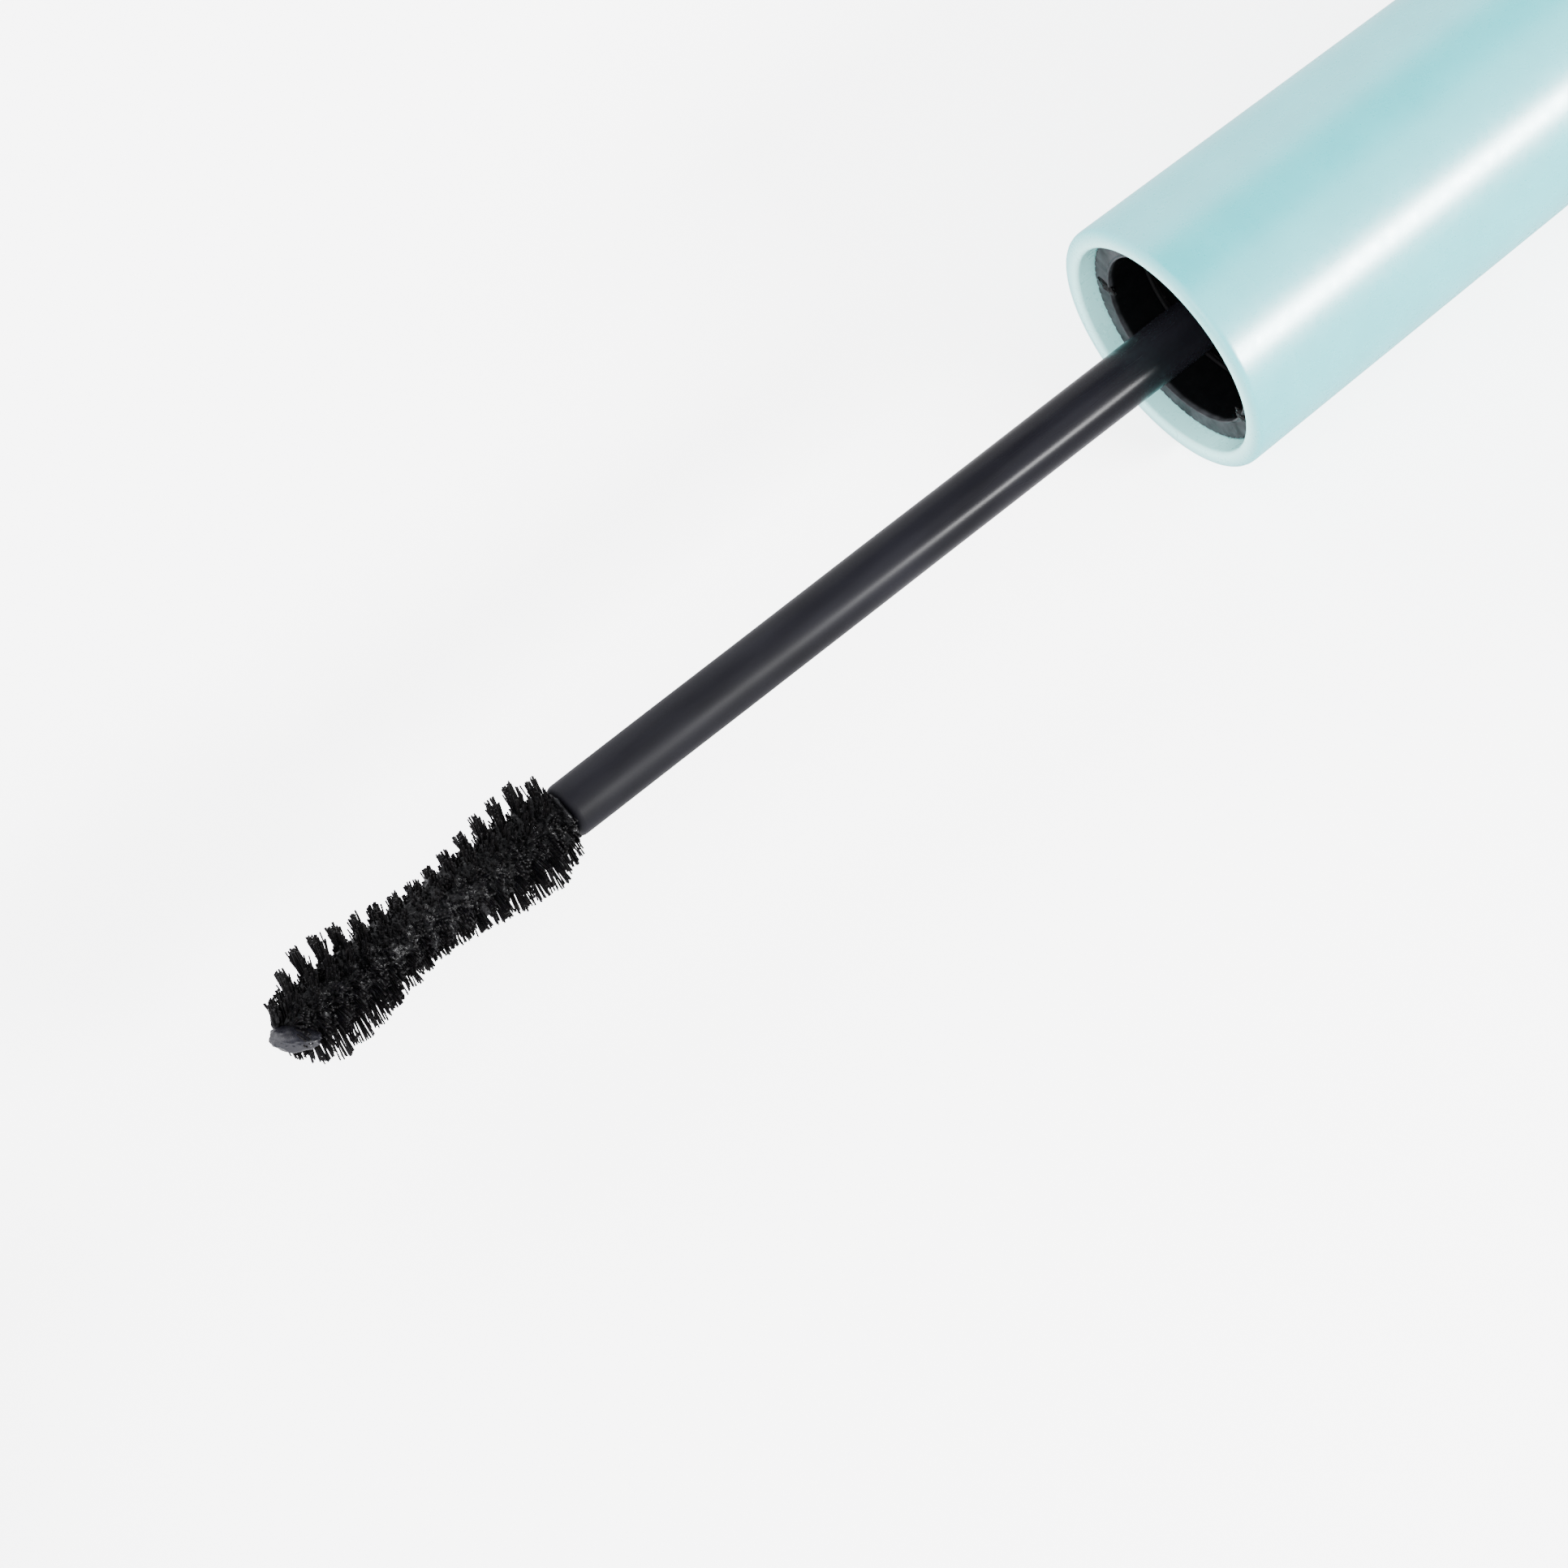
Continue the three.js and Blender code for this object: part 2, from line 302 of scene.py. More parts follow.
class Shader(Nodes):
    """A material round one Principled shader. Textures and places are the piece's own, at every pose."""

    def __init__(self, name, color, roughness, metallic=0.0, specular=0.5):
        self.material = bpy.data.materials.new(name)
        self.material.use_nodes = True
        super().__init__(self.material.node_tree)
        self.surface = self.tree.nodes["Principled BSDF"]
        self.surface.inputs["Base Color"].default_value = (*color, 1)
        self.surface.inputs["Roughness"].default_value = roughness
        self.surface.inputs["Metallic"].default_value = metallic
        self.surface.inputs["Specular IOR Level"].default_value = specular
        self.height = None

    def noise(self, scale, detail, stretch=(1, 1, 1)):
        """Noise over the piece, with scale in features per millimetre."""
        place = self.node("ShaderNodeTexCoord")
        mapping = self.node("ShaderNodeMapping")
        mapping.inputs["Scale"].default_value = [s / MM for s in stretch]
        made = self.node("ShaderNodeTexNoise", Scale=scale, Detail=detail)
        self.link(place.outputs["Object"], mapping.inputs["Vector"])
        self.link(mapping.outputs["Vector"], made.inputs["Vector"])
        return made.outputs["Fac"]

    def tint(self, source, low, high):
        """Base colour that runs between two colours with a texture's value."""
        ramp = self.node("ShaderNodeValToRGB")
        stops = ((NOISE_LOW, low), (NOISE_HIGH, high))
        for element, (position, color) in zip(ramp.color_ramp.elements, stops):
            element.position = position
            element.color = (*color, 1)
        self.link(source, ramp.inputs["Fac"])
        self.link(ramp.outputs["Color"], self.surface.inputs["Base Color"])

    def along(self, start, end):
        """Runs from 0 to 1 between two places on the pack's axis, in metres."""
        place = self.node("ShaderNodeTexCoord")
        split = self.node("ShaderNodeSeparateXYZ")
        self.link(place.outputs["Object"], split.inputs["Vector"])
        return self.spread(split.outputs["X"], 0, 1, start, end)

    def off_axis(self, inner, outer):
        """Runs from 0 to 1 between two distances from the pack's axis, in millimetres."""
        place = self.node("ShaderNodeTexCoord")
        across = self.node("ShaderNodeMapping")
        across.inputs["Location"].default_value = (0, 0, -AXIS_Z)
        across.inputs["Scale"].default_value = (0, 1, 1)
        self.link(place.outputs["Object"], across.inputs["Vector"])
        length = self.node("ShaderNodeVectorMath", operation="LENGTH")
        self.link(across.outputs["Vector"], length.inputs[0])
        return self.spread(length.outputs["Value"], 0, 1, inner * MM, outer * MM)

    def mixed(self, amount, color):
        """Moves the base colour from a plain colour, at 0, to the texture linked before, at 1."""
        base = self.surface.inputs["Base Color"]
        textured = base.links[0].from_socket
        made = self.node("ShaderNodeMix", data_type="RGBA")
        self.link(amount, made.inputs[MIX_FACTOR])
        made.inputs[MIX_COLOR_A].default_value = (*color, 1)
        self.link(textured, made.inputs[MIX_COLOR_B])
        self.link(made.outputs[MIX_COLOR_OUT], base)

    def rough(self, source, low, high):
        """Roughness that runs between two values with a texture's value."""
        self.link(self.spread(source, low, high), self.surface.inputs["Roughness"])

    def bump(self, source, depth, strength):
        """Adds relief of the given depth, in millimetres, over any relief added before."""
        made = self.node("ShaderNodeBump", Strength=strength, Distance=depth * MM)
        self.link(source, made.inputs["Height"])
        if self.height:
            self.link(self.height, made.inputs["Normal"])
        self.height = made.outputs["Normal"]
        self.link(self.height, self.surface.inputs["Normal"])


def aqua_shader(name):
    """Satin moulded plastic with a fine etched grain and slight clouding."""
    s = Shader(name, (0.029, 0.37, 0.40), 0.28, specular=0.95)
    s.surface.inputs["IOR"].default_value = 1.72
    s.tint(s.noise(0.25, 4), (0.024, 0.35, 0.38), (0.034, 0.39, 0.42))
    s.rough(s.noise(1.5, 4), 0.26, 0.31)
    s.bump(s.noise(5.0, 2), 0.004, 0.4)
    return s


def aqua_plastic():
    """The bottle's aqua."""
    return aqua_shader("aqua_plastic").material


def aqua_with_painted_lip_glow():
    """The cap's aqua, with painted light on the inner wall of its mouth: a paler colour there stands in for
    light that comes through the thin lip.
    """
    s = aqua_shader("aqua_with_painted_lip_glow")
    outside = s.off_axis(SHELL_BORE + 0.3, BODY_R - 0.05)
    beyond_mouth = s.along(MOUTH_X + 3 * MM, MOUTH_X + 4 * MM)
    # painted light: the inner wall near the mouth gets this paler aqua in place of light shining through the
    # lip
    painted_glow = (0.36, 0.80, 0.78)
    s.mixed(s.combined("MAXIMUM", outside, beyond_mouth), painted_glow)
    return s.material


def black_plastic():
    """Near-black moulded plastic, satin, with faint lengthwise drag marks.
    A film of product dulls it more and more from the wand's upper part towards the brush."""
    s = Shader("black_plastic", (0.004, 0.004, 0.0055), 0.3, specular=0.08)
    s.tint(s.noise(0.5, 4, (0.25, 1, 1)), (0.003, 0.003, 0.004), (0.006, 0.006, 0.008))
    gloss = s.spread(s.noise(0.8, 5, (0.12, 1, 1)), 0.20, 0.29)
    filmed = s.along(MOUTH_X - 12 * MM, MOUTH_X - 36 * MM)
    film = s.spread(filmed, 0, 0.24, 0, 1)
    s.link(s.combined("ADD", gloss, film), s.surface.inputs["Roughness"])
    s.bump(s.noise(2.0, 3, (0.06, 1, 1)), 0.004, 0.3)
    s.bump(s.noise(9.0, 2), 0.003, 0.4)
    return s.material


def liner_plastic():
    """The cap's threaded liner: its face is painted a lighter grey in patches, a painted sheen, and its bore is
    painted near black, a painted shade down the hole.
    """
    s = Shader("liner_plastic", (0.012, 0.013, 0.014), 0.5, specular=0.1)
    face_x = MOUTH_X + FACE_DEPTH * MM
    # painted sheen and shade: lighter grey on the face, near black deeper in the bore
    face_sheen_bore_shade = s.along(face_x + 0.5 * MM, face_x + 0.1 * MM)
    patches = s.spread(s.noise(0.9, 5), 0.4, 0.7)
    s.tint(s.combined("MULTIPLY", face_sheen_bore_shade, patches), (0.001, 0.001, 0.0013), (0.042, 0.044, 0.048))
    s.rough(s.noise(1.6, 4), 0.42, 0.58)
    s.bump(s.noise(3.0, 4), 0.02, 0.5)
    return s.material


def wiper_plastic():
    """Soft dark plastic with a faint moulded grain."""
    s = Shader("wiper_plastic", (0.03, 0.031, 0.035), 0.42, specular=0.3)
    s.tint(s.noise(0.8, 3), (0.022, 0.023, 0.026), (0.034, 0.035, 0.040))
    s.bump(s.noise(6.0, 2), 0.004, 0.5)
    return s.material


def gasket_foam():
    """Pressed foam, off white and pitted."""
    s = Shader("gasket_foam", (0.72, 0.70, 0.65), 0.85)
    s.tint(s.noise(3.0, 3), (0.62, 0.60, 0.56), (0.78, 0.76, 0.71))
    s.bump(s.noise(5.0, 4), 0.05, 0.8)
    return s.material


def wire_steel():
    """Drawn steel wire with fine lengthwise scratches."""
    s = Shader("wire_steel", (0.55, 0.55, 0.56), 0.28, metallic=1.0)
    s.tint(s.noise(2.0, 3), (0.48, 0.48, 0.49), (0.62, 0.62, 0.63))
    s.rough(s.noise(6.0, 3, (0.1, 1, 1)), 0.2, 0.4)
    s.bump(s.noise(12.0, 2, (0.1, 1, 1)), 0.004, 0.5)
    return s.material


def bristle_nylon():
    """Black fibres, each a little different in shade and gloss, some wet with product."""
    s = Shader("bristle_nylon", (0.003, 0.003, 0.0035), 0.35, specular=0.08)
    s.tint(s.noise(3.0, 2), (0.002, 0.002, 0.0025), (0.006, 0.0055, 0.0055))
    s.rough(s.noise(2.0, 2), 0.25, 0.5)
    return s.material


def wet_residue():
    """The formula left on the brush: black, clotted and wet."""
    s = Shader("wet_residue", (0.002, 0.002, 0.0023), 0.18, specular=0.16)
    s.tint(s.noise(2.0, 3), (0.0012, 0.0012, 0.0014), (0.004, 0.004, 0.0045))
    s.rough(s.noise(4.0, 3), 0.12, 0.35)
    s.bump(s.noise(4.5, 4), 0.10, 0.8)
    s.bump(s.noise(14.0, 3), 0.03, 0.8)
    return s.material


def drawn_residue():
    """The skin that the formula pulls into where it has dragged over plastic: smooth, greyer and folded."""
    s = Shader("drawn_residue", (0.010, 0.010, 0.013), 0.28, specular=0.5)
    s.tint(s.noise(0.9, 3, (0.4, 1, 1)), (0.004, 0.004, 0.006), (0.014, 0.014, 0.018))
    s.rough(s.noise(1.5, 3), 0.2, 0.36)
    s.bump(s.noise(0.9, 2, (0.5, 1, 1)), 0.10, 0.6)
    return s.material


def floor_paint():
    """Pale matt paint with a glow that only the camera sees, so that it doesn't light the pack."""
    s = Shader("floor_paint", (0.86, 0.86, 0.86), 0.6, specular=0.2)
    s.tint(s.noise(0.02, 3), (0.85, 0.85, 0.85), (0.87, 0.87, 0.87))
    s.surface.inputs["Emission Color"].default_value = (1, 1, 1, 1)
    path = s.node("ShaderNodeLightPath")
    glow = s.spread(path.outputs["Is Camera Ray"], 0, FLOOR_GLOW, 0, 1)
    s.link(glow, s.surface.inputs["Emission Strength"])
    return s.material


# ======================================================================================
# The applicator
# ======================================================================================

def cap_shell():
    """The outer shell, a little narrower towards its closed end, with a rounded rim."""
    end_r = BODY_R - CAP_DRAFT * CAP_LENGTH
    end_wall, side_wall = 1.6, 1.3
    ceiling = CAP_LENGTH - end_wall
    lip = 1.6
    straight_bore = 24
    middle = 12
    return lathe("cap_shell_skin", MOUTH_X, [
        (ceiling, 0, 0),
        (ceiling, end_r - side_wall, 0.8),
        (straight_bore, SHELL_BORE, 0),
        (lip, SHELL_BORE, 0),
        (0, SHELL_BORE, 0.35),
        (0, BODY_R, 0.75),
        (middle, BODY_R - CAP_DRAFT * middle, 0),
        (CAP_LENGTH, end_r, END_ROUND),
        (CAP_LENGTH, 0, 0),
    ], FINE_SEGMENTS)


def inner_cap():
    """The threaded liner. Its outer edge is knurled where it bites the shell, and one stretch is cut flat."""
    top = (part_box("inner_cap")[1].x - MOUTH_X) / MM
    ceiling = GASKET_TOP + 0.1
    ceiling_top = ceiling + 1.4
    wand_hole = WAND_R + 0.1
    body_r = INSERT_R - 0.5
    socket_bore, socket_r = 3.5, 4.5
    edge = 0.05
    teeth = 72
    steps_per_tooth = 6
    tooth_depth = 0.13
    knurl_length = 2
    cut_angle = math.radians(290)
    cut_r = INSERT_R - 0.38

    def knurled(along, radius, angle):
        if radius < INSERT_R - 0.2 or along > FACE_DEPTH + knurl_length:
            return along, radius
        tooth = max(0.0, math.cos(teeth * angle)) ** 3
        flat = cut_r / max(math.cos(angle - cut_angle), 0.5)
        return along, min(radius - tooth_depth * tooth, flat)

    return lathe("inner_cap_liner", MOUTH_X, [
        (ceiling_top, wand_hole, 0),
        (ceiling, wand_hole, 0),
        (ceiling, LINER_BORE, 0.3),
        (FACE_DEPTH + 0.4, LINER_BORE, 0),
        (FACE_DEPTH - 0.1, LINER_BORE, edge),
        (FACE_DEPTH - 0.1, LINER_BORE + 0.12, edge),
        (FACE_DEPTH, LINER_BORE + 0.2, edge),
        (FACE_DEPTH, INSERT_R, 0.08),
        (FACE_DEPTH + 1.5, INSERT_R, 0),
        (FACE_DEPTH + 2.1, body_r, 0),
        (ceiling_top, body_r, 0),
        (ceiling_top, socket_r, 0),
        (top, socket_r, 0),
        (top, socket_bore, 0),
        (ceiling_top, socket_bore, 0),
    ], teeth * steps_per_tooth, knurled)


def cap_gasket():
    """The foam washer under the liner's ceiling."""
    inside, outside = WAND_R + 0.3, 5.8
    edge = 0.08
    return lathe("cap_gasket_washer", MOUTH_X, [
        (GASKET_DEPTH, inside, edge),
        (GASKET_DEPTH, outside, edge),
        (GASKET_TOP, outside, edge),
        (GASKET_TOP, inside, edge),
    ], SMALL_SEGMENTS)


def wand_stem():
    """The rod, moulded a hair out of round, with a soft end that the wire goes into."""
    unevenness = 0.018
    wire_hole_r, wire_hole_depth = 0.6, 7
    head_r = 3.3
    head_start = WAND_TOP - 2.6
    ring_start, ring_gap, rings = 3, 2.0, 23

    def uneven(along, radius, angle):
        if along > 0 or radius < WAND_R - 0.3:
            return along, radius
        place = Vector((along * 0.12, 1.5 * math.sin(angle), 1.5 * math.cos(angle)))
        return along, radius + unevenness * noise.noise(place)

    straight = [(-WAND_REACH + ring_start + i * ring_gap, WAND_R, 0) for i in range(rings)]
    return lathe("wand_stem_rod", MOUTH_X, [
        (-WAND_REACH + wire_hole_depth, 0, 0),
        (-WAND_REACH + wire_hole_depth, wire_hole_r, 0),
        (-WAND_REACH, wire_hole_r, 0.05),
        (-WAND_REACH, WAND_R, 0.55),
        *straight,
        (head_start, WAND_R, 0),
        (head_start, head_r, 0.1),
        (head_start + 1.6, head_r, 0.1),
        (WAND_TOP, 1.4, 0.2),
        (WAND_TOP, 0, 0),
    ], SMALL_SEGMENTS, uneven)


# ---- The brush ----

def trim_radius(share):
    """Radius that the fibres are cut to at a share of the brush's length."""
    share = min(max(share, 0.0), 1.0)
    for (start, low), (end, high) in zip(TRIM, TRIM[1:]):
        if share <= end:
            ease = (1 - math.cos(math.pi * (share - start) / (end - start))) / 2
            return low + (high - low) * ease
    return TRIM[-1][1]


def brush_place(share, radius, angle, slip=0.0):
    """A point of the brush in metres, slip millimetres towards the cap from its share of the length."""
    return axis_point(MOUTH_X, -WAND_REACH - share * BRUSH_LENGTH + slip, radius, angle)


def row_angle(share):
    """The angle at which the first row stands at a share of the brush's length."""
    return -FULL_TURN * share * BRUSH_LENGTH / ROW_PITCH


def add_fibre(vertices, faces, root, tip, bend, radius):
    """One tapered, slightly bent fibre with a swollen end, as a thin tube. All is in metres."""
    across = (tip - root).orthogonal().normalized()
    other = (tip - root).cross(across).normalized()
    rings = len(FIBRE_TAPER)
    faces.extend(tube_faces(len(vertices), rings, FIBRE_SIDES))
    for i, taper in enumerate(FIBRE_TAPER):
        t = i / (rings - 1)
        centre = root.lerp(tip, t) + bend * math.sin(math.pi * t)
        reach = radius * taper
        for k in range(FIBRE_SIDES):
            side = FULL_TURN * k / FIBRE_SIDES
            vertices.append(centre + (across * math.cos(side) + other * math.sin(side)) * reach)


def gathered(angle):
    """The angle drawn towards the middle of its clump."""
    middle = (math.floor(angle / CLUMP_ANGLE) + 0.5) * CLUMP_ANGLE
    return angle + CLUMP_PULL * (middle - angle)


def fibre_ends(rng, share, angle, reach, shift):
    """Root and tip of a fibre. Neighbours slide along the wire and sway round it the same way."""
    where = Vector((share * BRUSH_LENGTH * 0.9, 2.5 * math.sin(angle), 2.5 * math.cos(angle)))
    far_off = Vector((40, 0, 0))
    slide = NEIGHBOUR_SLIDE * noise.noise(where)
    sway = NEIGHBOUR_SWAY * noise.noise(where + far_off)
    lean = LEAN * reach * math.cos(angle - LEAN_ANGLE)
    root_angle = angle + rng.uniform(-ROOT_SCATTER, ROOT_SCATTER)
    root = brush_place(share, ROOT_R, root_angle, shift * 0.9)
    tip_angle = angle + sway + rng.gauss(0, TIP_SCATTER)
    tip_slip = shift + slide + lean + rng.gauss(0, TIP_SLIP)
    return root, brush_place(share, reach, tip_angle, tip_slip)


def bristles():
    """Fibres in two helical rows, with short ones between, as objects that follow one another."""
    rng = random.Random(7)
    row_start, row_span = 0.012, 0.98
    row_scatter = 0.05
    full_cut, low_cut, low_cut_chance = (0.98, 1.05), (0.8, 0.96), 0.12
    short_start, short_span = 0.02, 0.95
    short_rise = 0.4
    parts = [([], []) for _ in range(BRISTLE_OBJECTS)]

    def grow(share, angle, reach, shift):
        """Adds a fibre to the object that holds its share of the length."""
        vertices, faces = parts[min(int(share * BRISTLE_OBJECTS), BRISTLE_OBJECTS - 1)]
        root, tip = fibre_ends(rng, share, angle, reach, shift)
        bend = Vector([rng.gauss(0, FIBRE_BEND) * MM for _ in range(3)])
        add_fibre(vertices, faces, root, tip, bend, rng.uniform(*FIBRE_R) * MM)

    for start in (0.0, math.pi):
        for i in range(ROW_FIBRES):
            share = row_start + row_span * (i + rng.random()) / ROW_FIBRES
            angle = gathered(row_angle(share) + start) + rng.gauss(0, row_scatter)
            cut = low_cut if rng.random() < low_cut_chance else full_cut
            reach = trim_radius(share) * rng.uniform(*cut)
            grow(share, angle, reach, rng.uniform(-ROW_HALF_WIDTH, ROW_HALF_WIDTH))
    for i in range(SHORT_FIBRES):
        share = short_start + short_span * (i + rng.random()) / SHORT_FIBRES
        reach = min(rng.uniform(WIPED_R, WIPED_R + short_rise), trim_radius(share) * 0.95)
        grow(share, rng.uniform(0, FULL_TURN), reach, 0.0)
    return [new_object(f"bristles_{number}", vertices, faces, smooth_angle=60)
            for number, (vertices, faces) in enumerate(parts, 1)]


def residue_core():
    """The clotted formula round the wire: it climbs the rows, is lower between them and thins at the ends."""
    stations, segments = 330, 150
    climb, lump, fine_lump = 0.16, 0.26, 0.14
    inset, covered = 0.003, 0.985
    vertices = []
    for i in range(stations + 1):
        share = i / stations
        thinning = min(1.0, (1 - share) * 12, share * 30 + 0.75)
        end = math.sqrt(max(thinning, 0.02))
        full = min(WIPED_R, trim_radius(share) * 0.8)
        for k in range(segments):
            angle = FULL_TURN * k / segments
            risen = climb * math.cos(2 * (angle - row_angle(share)))
            place = Vector((share * BRUSH_LENGTH * 1.6, 3.2 * math.sin(angle), 3.2 * math.cos(angle)))
            lumps = lump * noise.noise(place) + fine_lump * noise.noise(place * 2.6)
            vertices.append(brush_place(share * covered + inset, (full + risen + lumps) * end, angle))
    obj = new_object("residue_core", vertices, tube_faces(0, stations + 1, segments), smooth_angle=80)
    face_outwards(obj)
    return obj


def twisted_wire():
    """Two strands of one folded wire, twisted together."""
    low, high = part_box("brush_wire")
    start, end = (high.x - MOUTH_X) / MM, (low.x - MOUTH_X) / MM
    strand_r, helix_r = 0.24, 0.27
    skin_r = strand_r * 0.98
    sides, steps_per_turn = 10, 32
    length = start - end - strand_r
    steps = int(length / ROW_PITCH * steps_per_turn)
    vertices, faces = [], []
    for phase in (0.0, math.pi):
        faces.extend(tube_faces(len(vertices), steps + 1, sides))
        for i in range(steps + 1):
            reached = length * i / steps
            angle = phase - FULL_TURN * reached / ROW_PITCH
            for k in range(sides):
                side = FULL_TURN * k / sides
                y = helix_r * math.sin(angle) + skin_r * math.sin(side)
                z = helix_r * math.cos(angle) + skin_r * math.cos(side)
                vertices.append((MOUTH_X + (start - reached) * MM, y * MM, AXIS_Z + z * MM))
    obj = new_object("twisted_wire", vertices, faces, smooth_angle=50)
    face_outwards(obj)
    return obj


def blob(name, centre, sizes, turn, lumps, seed, crown=1.0):
    """A soft lump: an ellipsoid, roughened by noise and turned by a matrix. Its sizes are half its lengths,
    in millimetres, and its upper half is squashed to the crown's share."""
    rings, segments = 36, 56
    coarse, fine, fine_share = 1.7, 4.1, 0.6
    vertices = []
    for i in range(rings + 1):
        polar = math.pi * i / rings
        for k in range(segments):
            angle = FULL_TURN * k / segments
            unit = Vector((math.cos(polar),
                           math.sin(polar) * math.sin(angle),
                           math.sin(polar) * math.cos(angle)))
            swell = 1 + lumps * noise.noise(unit * coarse + Vector((seed, 0, 0)))
            swell += lumps * fine_share * noise.noise(unit * fine + Vector((0, seed, 0)))
            point = Vector([u * size * swell * MM for u, size in zip(unit, sizes)])
            if point.z > 0:
                point.z *= crown
            vertices.append(centre + turn @ point)
    faces = tube_faces(0, rings + 1, segments, capped=False)
    obj = new_object(name, vertices, faces, smooth_angle=80)
    face_outwards(obj, weld=1e-7)
    return obj


def cap_place(along, radius, degrees):
    """A point round the applicator's axis: degrees 0 is up, and 90 is towards -Y, the camera's side."""
    return axis_point(MOUTH_X, along, radius, -math.radians(degrees))


def tip_residue(drawn, wet):
    """The formula gathered on the free end: a folded flap laid over its near side, and a small lump beyond.
    Returns each piece with its material."""
    slant = Matrix.Rotation(math.radians(-41), 3, "Z") @ Matrix.Rotation(math.radians(-27), 3, "X")
    flap = blob("tip_residue_flap", cap_place(-BRUSH_REACH + 0.4, 1.35, 52),
                (1.6, 1.0, 0.8), slant, lumps=0.16, seed=3.0, crown=0.4)
    nub = blob("tip_residue_nub", cap_place(-BRUSH_REACH + 0.45, 0.75, -60),
               (0.4, 0.6, 0.85), slant, lumps=0.25, seed=8.0)
    return [(flap, drawn), (nub, wet)]


def mouth_residue():
    """Dried product that the bottle's neck has scraped on to the liner's face, on either side."""
    flat = Matrix.Rotation(math.radians(100), 3, "X")
    left = blob("liner_residue_left", cap_place(FACE_DEPTH, LINER_BORE + 0.3, -104),
                (0.2, 0.3, 0.75), flat, lumps=0.35, seed=5.0)
    right = blob("liner_residue_right", cap_place(FACE_DEPTH, LINER_BORE + 0.15, 104),
                 (0.2, 0.3, 0.6), flat, lumps=0.4, seed=12.0)
    return [left, right]


# ======================================================================================
# The bottle
# ======================================================================================

def bottle_shell():
    """The outer shell, straight and as wide as the cap's mouth, with a flat base."""
    floor = -BOTTLE_LENGTH + 1.4
    lip = -2
    middle = -30
    return lathe("bottle_shell_skin", SHOULDER_X, [
        (-BOTTLE_LENGTH, 0, 0),
        (-BOTTLE_LENGTH, BODY_R, END_ROUND),
        (middle, BODY_R, 0),
        (0, BODY_R, 0.55),
        (0, SHELL_BORE, 0.3),
        (lip, SHELL_BORE, 0),
        (floor, SHELL_BORE, 0),
        (floor, 0, 0),
    ], FINE_SEGMENTS)


def inner_vial():
    """The vial that holds the formula, with a low collar on the shoulder and the neck above it."""
    base = -BOTTLE_LENGTH + 1.5
    floor = base + 1.1
    chamber_r, floor_r = 6.5, 4.5
    collar_r, collar_height = INSERT_R - 0.15, 1.1
    return lathe("inner_vial_wall", SHOULDER_X, [
        (base, 0, 0),
        (base, INSERT_R, 1.2),
        (-0.3, INSERT_R, 0),
        (0, collar_r, 0),
        (collar_height, collar_r, 0.25),
        (collar_height, NECK_R, 0.3),
        (NECK_HEIGHT, NECK_R, 0.3),
        (NECK_HEIGHT, NECK_BORE, 0.15),
        (-1, NECK_BORE, 0.4),
        (-3, chamber_r, 0.5),
        (base + 3, chamber_r, 0.5),
        (floor, floor_r, 0.5),
        (floor, 0, 0),
    ])


def neck_wiper():
    """The flanged sleeve in the neck, drawn in to the hole that strips the wand and the brush."""
    top = (WIPER_HIGH.x - SHOULDER_X) / MM
    lip = (WIPER_LOW.x - SHOULDER_X) / MM
    sleeve_r = NECK_BORE - 0.1
    sleeve_bore = sleeve_r - 0.6
    hole = WAND_R + 0.13
    flange_r = NECK_R - 0.2
    flange_low = NECK_HEIGHT + 0.1
    return lathe("neck_wiper_sleeve", SHOULDER_X, [
        (top, sleeve_r - 0.3, 0.2),
        (top - 1.2, sleeve_bore, 0.2),
        (0.4, sleeve_bore, 0.4),
        (lip + 0.7, hole, 0.2),
        (lip, hole, 0.1),
        (lip + 0.2, hole + 0.6, 0.1),
        (0, sleeve_r, 0.4),
        (flange_low, sleeve_r, 0),
        (flange_low, flange_r, 0.1),
        (top, flange_r, 0.25),
    ], segments=120)


# ======================================================================================
# Stage
# ======================================================================================

# Lengths of the stage are in metres.
FLOOR_SIZE = 3.0
FLOOR_DROP = 0.00002  # keeps the floor just under the pack
FLOOR_GLOW = 3.4
ROOM_COLOR = (0.97, 0.965, 1.0)
ROOM_SEEN = 6.0  # the room's strength to the camera; the next three are the strengths that light the pack
ROOM_SIDES = 2.6
ROOM_BELOW = 2.1
ROOM_TOP = 0.1
ROOM_TOP_WAY = (0.294, 0.389, 0.873)  # the middle of the room's dark part
ROOM_TOP_CORE = math.radians(13)  # all dark inside this angle from its middle
ROOM_TOP_EDGE = math.radians(32)  # and no longer dark outside this one
ROOM_HORIZON = 0.1
CAMERA_AZIMUTH = math.radians(-41.198)
CAMERA_ELEVATION = math.radians(63.453)
CAMERA_DISTANCE = 0.39124
CAMERA_AIM = Vector((MOUTH_X - 0.03743, -0.00722, AXIS_Z))
CAMERA_LENS = 149.07
CAMERA_SENSOR = 36


def add_floor():
    """A wide pale floor. Reflections look past it, so that gloss stays clear of its glare."""
    signs = [(-1, -1), (1, -1), (1, 1), (-1, 1)]
    corners = [(x * FLOOR_SIZE, y * FLOOR_SIZE, -FLOOR_DROP) for x, y in signs]
    floor = new_object("floor", corners, [[0, 1, 2, 3]])
    floor.data.materials.append(floor_paint())
    floor.visible_glossy = False


def add_area_light(name, way, distance, size, power, along=0.0, in_reflections=False):
    """A rectangular soft light, at a distance from the cap's mouth out along way, that shines back against it.
    along moves it towards +X."""
    light = bpy.data.lights.new(name, "AREA")
    light.shape = "RECTANGLE"
    light.size, light.size_y = size
    light.energy = power
    obj = bpy.data.objects.new(name, light)
    obj.location = Vector((MOUTH_X + along, 0, AXIS_Z)) + way * distance
    obj.rotation_euler = (-way).to_track_quat("-Z", "Y").to_euler()
    obj.visible_glossy = in_reflections
    bpy.context.scene.collection.objects.link(obj)


